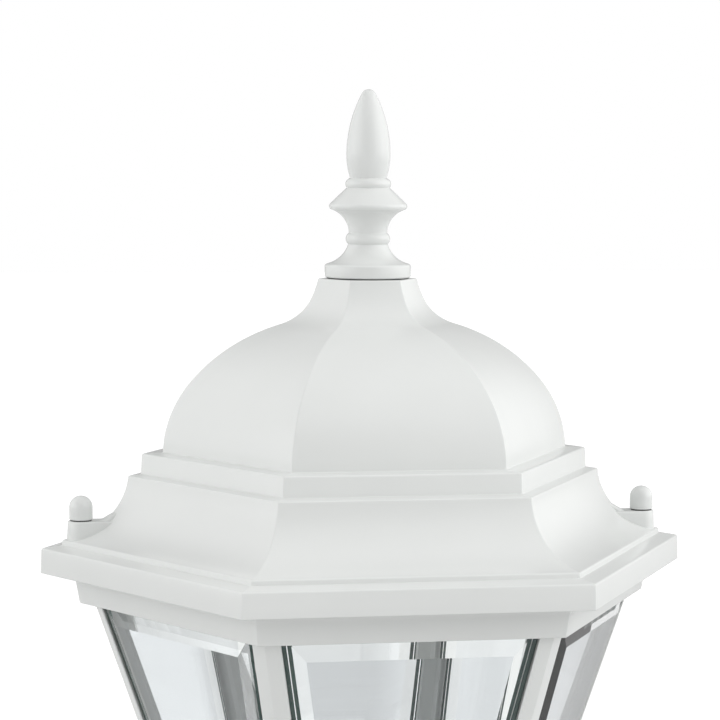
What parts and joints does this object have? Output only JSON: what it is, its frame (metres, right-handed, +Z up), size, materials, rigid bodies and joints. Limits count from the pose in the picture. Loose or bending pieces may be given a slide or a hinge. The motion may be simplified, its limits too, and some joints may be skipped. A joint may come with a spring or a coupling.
{
  "type": "post top lantern",
  "caption": "Hexagonal post top lantern: ogee dome roof with finial held by cap nuts, bevelled glass panes between leaning corner posts, and a round post fitter.",
  "frame": {"origin": "centre of the fitter's open mouth, on the plane of its lower rim", "axes": "+Z up along the lantern's axis, towards the finial; +X through a corner of the hexagon that carries a roof stud; -Y out of the front side"},
  "size_m": [0.2668, 0.231, 0.478],
  "materials": {
    "white_coat": "satin white coat over cast aluminium",
    "clear_glass": "clear, polished bevels, pale green at the edges",
    "dark_rubber": "matt",
    "zinc_steel": "zinc plated",
    "glazed_porcelain": "glazed",
    "brass": "plain",
    "green_screw": "green lacquer"
  },
  "bodies": {
    "cage": {"cage_base": "white_coat", "clip_screws": "zinc_steel", "corner_post_back_left": "white_coat", "corner_post_back_right": "white_coat", "corner_post_front_left": "white_coat", "corner_post_front_right": "white_coat", "corner_post_left": "white_coat", "corner_post_right": "white_coat", "gallery_ring": "white_coat", "glass_clips": "zinc_steel", "glass_pane_back": "clear_glass", "glass_pane_back_left": "clear_glass", "glass_pane_back_right": "clear_glass", "glass_pane_front": "clear_glass", "glass_pane_front_left": "clear_glass", "glass_pane_front_right": "clear_glass", "ground_screw": "green_screw", "nipple_nut_lower": "zinc_steel", "nipple_nut_upper": "zinc_steel", "nipple_washers": "zinc_steel", "post_fitter": "white_coat", "post_screws_foot": "zinc_steel", "post_screws_top": "zinc_steel", "roof_stud_left": "zinc_steel", "roof_stud_right": "zinc_steel", "socket_base": "glazed_porcelain", "socket_body": "glazed_porcelain", "socket_contact": "brass", "socket_screws": "zinc_steel", "socket_shell": "brass", "wire_nipple": "zinc_steel"},
    "roof": {"roof_casting": "white_coat", "finial": "white_coat", "finial_gasket": "dark_rubber", "finial_stud": "zinc_steel", "finial_washer": "zinc_steel", "finial_nut": "zinc_steel"},
    "cap_washer_left": {"cap_washer_left": "dark_rubber"},
    "cap_nut_left": {"cap_nut_left": "white_coat"},
    "cap_washer_right": {"cap_washer_right": "dark_rubber"},
    "cap_nut_right": {"cap_nut_right": "white_coat"},
    "set_screw_1": {"set_screw_1": "zinc_steel"},
    "set_screw_2": {"set_screw_2": "zinc_steel"},
    "set_screw_3": {"set_screw_3": "zinc_steel"}
  },
  "joints": [
    {"name": "roof_lift", "type": "slide", "parent": "cage", "child": "roof", "axis": [0, 0, 1], "range_m": [0, 0.08]},
    {"name": "cap_nut_left_rise", "type": "slide", "parent": "roof", "child": "cap_washer_left", "axis": [0, 0, 1], "range_m": [0, 0.00714]},
    {"name": "cap_nut_left_turn", "type": "hinge", "parent": "cap_washer_left", "child": "cap_nut_left", "pos_m": [-0.117, 0, 0.3085], "axis": [0, 0, 1], "range_deg": [0, 3240]},
    {"name": "cap_nut_right_rise", "type": "slide", "parent": "roof", "child": "cap_washer_right", "axis": [0, 0, 1], "range_m": [0, 0.00714]},
    {"name": "cap_nut_right_turn", "type": "hinge", "parent": "cap_washer_right", "child": "cap_nut_right", "pos_m": [0.117, 0, 0.3085], "axis": [0, 0, 1], "range_deg": [0, 3240]},
    {"name": "set_screw_1_drive", "type": "slide", "parent": "cage", "child": "set_screw_1", "axis": [0, -1, 0], "range_m": [0, 0.0045]},
    {"name": "set_screw_2_drive", "type": "slide", "parent": "cage", "child": "set_screw_2", "axis": [0.866, 0.5, 0], "range_m": [0, 0.0045]},
    {"name": "set_screw_3_drive", "type": "slide", "parent": "cage", "child": "set_screw_3", "axis": [-0.866, 0.5, 0], "range_m": [0, 0.0045]}
  ],
  "couplings": [
    {"joint": "cap_nut_left_turn", "follows": "cap_nut_left_rise", "rad_per_m": 7915.8},
    {"joint": "cap_nut_right_turn", "follows": "cap_nut_right_rise", "rad_per_m": 7915.8}
  ]
}
